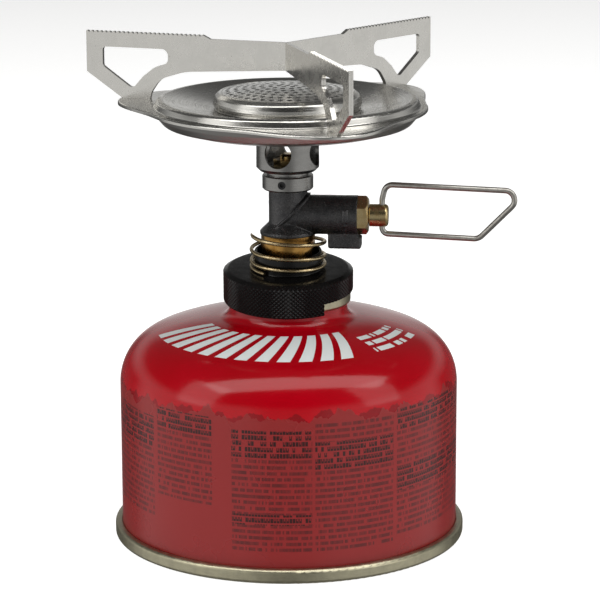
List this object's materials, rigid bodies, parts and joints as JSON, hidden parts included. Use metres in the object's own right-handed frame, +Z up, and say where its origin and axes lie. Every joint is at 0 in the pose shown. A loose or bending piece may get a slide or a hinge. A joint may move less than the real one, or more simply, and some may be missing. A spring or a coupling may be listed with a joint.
{
  "type": "camping stove",
  "caption": "Screw-on camping gas burner with three folded-sheet pot arms, wire valve handle and spring-loaded locking collar, on a gas cartridge.",
  "frame": {"origin": "on the cartridge's axis, in the plane that the base ring stands on", "axes": "+Z up along the cartridge's axis, +X towards the valve handle, +Y towards the side that the locking collar's skirt leaves open"},
  "size_m": [0.1083, 0.0968, 0.128],
  "materials": {
    "red_paint": "gloss",
    "tin_plate": "satin",
    "rubber_black": "matte",
    "plastic_white": "matte",
    "spring_steel": "satin",
    "brass": "satin",
    "black_casting": "matte",
    "stainless": "satin",
    "bronze_wire": "satin",
    "black_plastic": "matte"
  },
  "bodies": {
    "cartridge": {"cartridge_shell": "red_paint", "cartridge_base": "tin_plate", "valve_cup": "tin_plate", "cup_gasket": "rubber_black", "cartridge_valve_housing": "plastic_white", "cartridge_valve_gasket": "rubber_black", "cartridge_valve_spring": "spring_steel"},
    "cartridge_stem": {"cartridge_valve_stem": "plastic_white"},
    "inlet": {"inlet_nut": "brass", "inlet_seal": "rubber_black", "inlet_filter": "brass", "depressor_pin": "brass", "collar_clip": "spring_steel"},
    "stove": {"valve_body": "black_casting", "gland_nut": "brass", "gland_packing": "plastic_white", "jet": "brass", "clamp_ring": "stainless", "set_screw": "stainless", "mixing_tube": "stainless", "burner_bowl": "stainless", "burner_plate": "stainless", "burner_cap": "stainless", "flame_disc": "stainless", "flame_mesh": "stainless", "spreader": "stainless", "pot_support_left_front": "stainless", "pot_support_front_right": "stainless", "pot_support_right_left": "stainless", "collar_spring": "bronze_wire"},
    "collar": {"locking_collar": "black_plastic"},
    "spindle": {"valve_spindle": "brass", "spindle_o_ring": "rubber_black"},
    "handle": {"wire_handle": "stainless"}
  },
  "joints": [
    {"name": "stem_slide", "type": "slide", "parent": "cartridge", "child": "cartridge_stem", "axis": [0, 0, 1], "range_m": [0, 0.00115], "deforming": ["cartridge_valve_spring"]},
    {"name": "stove_lift", "type": "slide", "parent": "cartridge", "child": "inlet", "axis": [0, 0, 1], "range_m": [0, 0.0071]},
    {"name": "stove_unscrew", "type": "hinge", "parent": "inlet", "child": "stove", "pos_m": [0, 0, 0.079], "axis": [0, 0, 1], "range_deg": [0, 2770]},
    {"name": "collar_slide", "type": "slide", "parent": "stove", "child": "collar", "axis": [0, 0, 1], "range_m": [0, 0.003], "stiffness_N_per_m": 290, "springref_m": -0.006, "deforming": ["collar_spring"]},
    {"name": "valve_turn", "type": "hinge", "parent": "stove", "child": "spindle", "pos_m": [0, 0, 0.0833], "axis": [0.9954, -0.0958, 0], "range_deg": [0, 540]},
    {"name": "handle_swing", "type": "hinge", "parent": "spindle", "child": "handle", "pos_m": [0.02379, -0.00229, 0.0833], "axis": [0, 0, 1], "range_deg": [-85, 105]}
  ],
  "couplings": [
    {"joint": "stove_lift", "follows": "stove_unscrew", "m_per_rad": 0.00014435},
    {"joint": "stem_slide", "follows": "stove_unscrew", "m_per_rad": 0.000023167}
  ]
}
